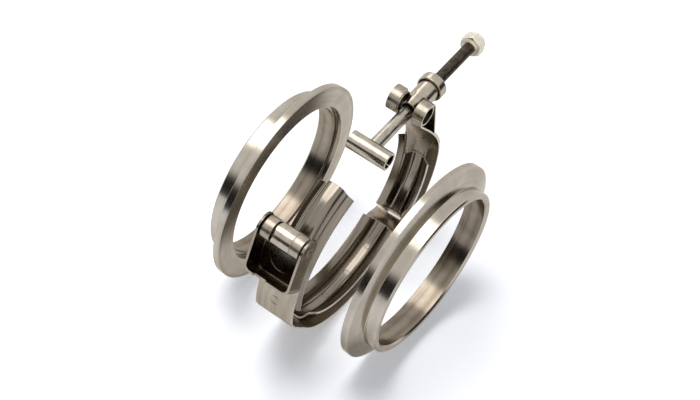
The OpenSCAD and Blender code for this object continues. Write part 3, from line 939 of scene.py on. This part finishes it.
head_length, head_wall, head_seam, seam_angle, shade_margin = 20.0, 1.2, 0.4, -75, 0.05
head_centre = bolt_centre - head_to_pivot * heading(bolt_tilt)
head_radius = head_diameter / 2 - head_wall / 2
seam_half = math.degrees(head_seam / 2 / head_radius)
head_path = arc(head_centre, head_radius, seam_angle + seam_half, seam_angle + 360 - seam_half, 5)
head = sheet_strip("t_head_rolled", head_path, [clamp_x - head_length / 2, clamp_x + head_length / 2],
                   head_wall, tube_steel, edge=0.25)
darken_bore(head, head_centre, head_diameter / 2 - head_wall + shade_margin)
ride(head, "t_bolt", "formed_steel", "t_head")
print("T-head faces:", len(head.data.polygons))

# %% [markdown]
# ## Trunnion
# The trunnion is formed from one sheet: two hollow arms lie in the strap's eyes, and the barrel
# between them guides the bolt. The arms are one tube with the middle cut out. The barrel is turned
# with a funnel at its inner end, and then squeezed flat there to go between the arms, as a press
# would do it. A smooth step blends the flat part into the round one.

# %% Trunnion arms
arm_radius, arm_wall, barrel_radius, barrel_front = 5.1, 1.1, 5.1, 18.4
arm_half, arm_bore, cutter_half = strap_width / 2 - 0.3, arm_radius - arm_wall, 9
saddle_half, saddle_start, saddle_end = 4.0, 5.7, 7.6
arm_profile = rounded([
    (arm_bore, -arm_half), (arm_radius, -arm_half), (arm_radius, arm_half), (arm_bore, arm_half)],
    0.35, 3, closed=True)
arms = turned_solid(
    "trunnion_arms", arm_profile + arm_profile[:1], tube_steel, (clamp_x, *pivot_centre), steps=72)
mouth = block_from_outline("mouth", [
    (-cutter_half, -cutter_half), (cutter_half, -cutter_half),
    (cutter_half, cutter_half), (-cutter_half, cutter_half)], saddle_half - 0.3)
mouth.data.transform(Matrix.Translation(Vector((clamp_x, *pivot_centre)) * mm))
arms = boolean(arms, mouth, "DIFFERENCE")
finish_mesh(arms, 30)
bevel(arms, 0.25, 3, 40)
# The inside of the arms gets the dark steel, painted shade.
darken_bore(arms, pivot_centre, arm_bore + shade_margin)
ride(arms, "trunnion", "formed_steel", "trunnion")
print("arm faces:", len(arms.data.polygons))

# %% Trunnion barrel
bore_inside, funnel_radius = bolt_radius + 0.05, barrel_radius - 0.8
mouth_front, funnel_start, funnel_end = -1.6, 1.5, 4.0
# Rows close together let the squeezed part blend smoothly.
saddle_rows = [(barrel_radius, 0.5 + 0.4 * k) for k in range(12, 19)]
barrel_profile = rounded([
    (bore_inside, funnel_end), (funnel_radius, funnel_start), (funnel_radius, mouth_front),
    (barrel_radius, mouth_front), *saddle_rows,
    (barrel_radius, barrel_front), (bore_inside, barrel_front)], 0.3, 3, closed=True)
barrel = turned_solid(
    "trunnion_barrel", barrel_profile + barrel_profile[:1], tube_steel, axis="Y", steps=72)
for vert in barrel.data.vertices:
    across, along = math.hypot(vert.co[0], vert.co[2]) / mm, vert.co[1] / mm
    if across > bore_inside + 0.2:
        t = min(1, max(0, (along - saddle_start) / (saddle_end - saddle_start)))
        widen = t * t * (3 - 2 * t)
        vert.co[0] *= widen + (1 - widen) * saddle_half / barrel_radius
barrel.data.transform(bolt_frame)
finish_mesh(barrel, 40)
level_normals(barrel)
ride(barrel, "trunnion", "formed_steel")
print("barrel faces:", len(barrel.data.polygons))

# %% [markdown]
# ## Cup collar
# A pressed cup sits on the end of the barrel and takes the nut's push. It is a thin profile with
# soft bends, turned about the bolt.

# %% Cup collar
collar_radius, collar_length, collar_wall, collar_hole = 6.4, 4.6, 1.0, bolt_radius + 0.15
collar_low = barrel_front - collar_length + collar_wall
collar_top, collar_inner = collar_low + collar_length, collar_radius - collar_wall
collar_profile = rounded([
    (collar_inner, collar_low), (collar_radius, collar_low), (collar_radius, collar_top),
    (collar_hole, collar_top), (collar_hole, collar_top - collar_wall),
    (collar_inner, collar_top - collar_wall)], 0.45, 4, closed=True)
collar = bolt_solid("cup_collar_pressed", collar_profile + collar_profile[:1], tube_steel)
ride(collar, "trunnion", "formed_steel", "cup_collar")
print("collar faces:", len(collar.data.polygons))

# %% [markdown]
# ## Lock nut
# A lock nut is a hexagon whose corners were turned off to a chamfer, with a thin round crown that
# is squeezed to grip the thread. So it is made as on a lathe: the hexagon keeps only what lies
# inside a turned blank, then the crown is added and the bore cut through, with a lead-in chamfer.

# %% Lock nut
nut_flats, nut_height, nut_crown, tip_out = 10.0, 5.0, 1.6, -0.4
corner_chamfer, lead_in, bore_gap, beyond = 0.45, 0.7, 0.05, 1
nut_start = pivot_to_tip - nut_height - nut_crown - tip_out
nut_top = nut_start + nut_height
nut_corner = nut_flats / 2 / math.cos(math.radians(30))
flat_radius, blank_radius = nut_flats / 2 - 0.1, nut_corner - 0.05
nut = bolt_solid("lock_nut_plated", [
    (0, nut_start), (nut_corner, nut_start), (nut_corner, nut_top), (0, nut_top)], nut_steel, 6)
blank = bolt_solid("nut_chamfer", [
    (0, nut_start), (flat_radius, nut_start), (blank_radius, nut_start + corner_chamfer),
    (blank_radius, nut_top - corner_chamfer), (flat_radius, nut_top), (0, nut_top)], nut_steel, 96)
nut = boolean(nut, blank, "INTERSECT")
crown = bolt_solid("nut_crown", [
    (0, nut_top - 0.5), (4.4, nut_top - 0.5), (4.4, nut_top + 0.9), (4.2, nut_top + 1.3),
    (3.8, nut_top + nut_crown), (0, nut_top + nut_crown)], nut_steel, 96)
nut = boolean(nut, crown, "UNION")
bore = bolt_solid("nut_bore", [
    (0, nut_start - beyond), (bolt_radius + 0.75, nut_start - beyond), (bolt_radius + 0.75, nut_start),
    (bolt_radius + bore_gap, nut_start + lead_in), (bolt_radius + bore_gap, nut_top + nut_crown + beyond),
    (0, nut_top + nut_crown + beyond)], nut_steel, 64)
nut = boolean(nut, bore, "DIFFERENCE")
finish_mesh(nut, 30)
bevel(nut, 0.12, 2, 25)
ride(nut, "nut", "plated_nut", "lock_nut")
print("nut faces:", len(nut.data.polygons))

# %% [markdown]
# ## Floor
# The set stands on a white sheet in soft studio light. The floor takes a soft shadow, and a little
# of its own glow keeps it white for the camera and for reflections, so the object gets no extra
# light from it. The glow is weaker near the object, where the shadow has to show.

# %% Floor
floor_level, floor_half = -50.0, 4000
glow_from, glow_to = (0.2, 0.32), (1.4, 0.95)  # metres from the origin, and the glow there


def background_rays(tree):
    """1 for the rays that see the white background: from the camera, or by way of metal or glass."""
    rays = add(tree, "ShaderNodeLightPath").outputs
    seen = rays["Is Camera Ray"]
    for name in ("Is Glossy Ray", "Is Transmission Ray"):
        seen = add(tree, "ShaderNodeMath", {0: seen, 1: rays[name]}, operation="MAXIMUM").outputs["Value"]
    return seen


def paper_white():
    material = bpy.data.materials.new("white paper floor")
    tree = blank_tree(material)
    paper = add(tree, "ShaderNodeBsdfDiffuse", {"Color": linear("F4F5F8")}).outputs[0]
    place = add(tree, "ShaderNodeTexCoord").outputs["Object"]
    away = add(tree, "ShaderNodeVectorMath", {0: place}, operation="LENGTH").outputs["Value"]
    strength = add(tree, "ShaderNodeMapRange", {
        "Value": away, "From Min": glow_from[0], "From Max": glow_to[0],
        "To Min": glow_from[1], "To Max": glow_to[1]}).outputs["Result"]
    glow = add(tree, "ShaderNodeEmission", {"Color": linear("FFFFFF"), "Strength": strength}).outputs[0]
    nothing = add(tree, "ShaderNodeEmission", {"Strength": 0.0}).outputs[0]
    switched = add(tree, "ShaderNodeMixShader", {0: background_rays(tree), 1: nothing, 2: glow}).outputs[0]
    total = add(tree, "ShaderNodeAddShader", {0: paper, 1: switched}).outputs[0]
    add(tree, "ShaderNodeOutputMaterial", {"Surface": total})
    return material


floor = make_object("floor", [
    (-floor_half, -floor_half, floor_level), (floor_half, -floor_half, floor_level),
    (floor_half, floor_half, floor_level), (-floor_half, floor_half, floor_level)],
    [(0, 1, 2, 3)], paper_white())
print("floor at z =", floor_level)

# %% [markdown]
# ## World and dark cards
# The world is a mid grey light on the object, and white to the camera and to reflections. In an all
# white room bright metal would lose its shape, so a photographer stands dark cards round it. Two
# upright cards do that here. Only reflections see them, and their upper edges fade out.

# %% World and dark cards
room_grey, card_fade_from = "6E7480", 0.6
world = bpy.data.worlds.new("studio")
scene.world = world
tree = blank_tree(world)
mixed = add(tree, "ShaderNodeMix", {
    "Factor": background_rays(tree), 6: linear(room_grey), 7: linear("FFFFFF")}, data_type="RGBA")
sky = add(tree, "ShaderNodeBackground", {"Color": mixed.outputs[2], "Strength": 1.0})
add(tree, "ShaderNodeOutputWorld", {"Surface": sky.outputs[0]})


def dark_card(name, azimuth, distance, width, low, high, code):
    """An upright card at an azimuth and distance from the clamp, from one level to another."""
    material = bpy.data.materials.new(name)
    tree = blank_tree(material)
    place = add(tree, "ShaderNodeTexCoord").outputs["Generated"]
    height = add(tree, "ShaderNodeSeparateXYZ", {"Vector": place}).outputs["Z"]
    fade = add(tree, "ShaderNodeMapRange", {
        "Value": height, "From Min": card_fade_from, "From Max": 1.0, "To Min": 1.0, "To Max": 0.0},
        interpolation_type="SMOOTHSTEP").outputs["Result"]
    glossy = add(tree, "ShaderNodeLightPath").outputs["Is Glossy Ray"]
    shown = add(tree, "ShaderNodeMath", {0: fade, 1: glossy}, operation="MULTIPLY").outputs["Value"]
    tone = add(tree, "ShaderNodeEmission", {"Color": linear(code), "Strength": 1.0}).outputs[0]
    clear = add(tree, "ShaderNodeBsdfTransparent").outputs[0]
    total = add(tree, "ShaderNodeMixShader", {0: shown, 1: clear, 2: tone}).outputs[0]
    add(tree, "ShaderNodeOutputMaterial", {"Surface": total})
    across = heading(azimuth + 90) * width / 2
    middle = heading(azimuth) * distance + Vector((clamp_x, 0))
    left, right = middle - across, middle + across
    card = make_object(name, [(*left, low), (*right, low), (*right, high), (*left, high)],
                       [(0, 1, 2, 3)], material)


dark_card("dark card, front", -100, 1000, 1700, -60, 620, "1E1B18")
dark_card("dark card, right", 25, 1000, 1100, -60, 700, "2A2622")
print("materials with the stage:", len(bpy.data.materials))

# %% [markdown]
# ## Lamps
# A large lamp high on the left models the forms. A stronger one above it lights the floor and the
# tops of the pieces, and doesn't show in the metal, where it would burn a white spot. A weak lamp
# behind on the left lifts the shadow side.

# %% Lamps
lamp_aim = (40, 0, 0)


def lamp(name, place, size, power):
    """A round soft lamp, with its place and size in millimetres and its power in watts."""
    data = bpy.data.lights.new(name, "AREA")
    data.shape = "DISK"
    data.size = size * mm
    data.energy = power
    obj = bpy.data.objects.new(name, data)
    towards = (Vector(lamp_aim) - Vector(place)).to_track_quat("-Z", "Y").to_matrix().to_4x4()
    obj.matrix_world = Matrix.Translation(Vector(place) * mm) @ towards
    scene.collection.objects.link(obj)
    return obj


lamp("key", (-190, -30, 760), 560, 2.0)
lamp("floor lamp", (-160, -20, 1000), 480, 6.0).visible_glossy = False
lamp("back left", (-420, 420, 430), 320, 0.45)
print("lamps:", len(bpy.data.lights))

# %% [markdown]
# ## Finish
# The view layer is brought up to date. The dressed model has to stay in the box of the
# solids.

# %% Finish
bpy.context.view_layer.update()
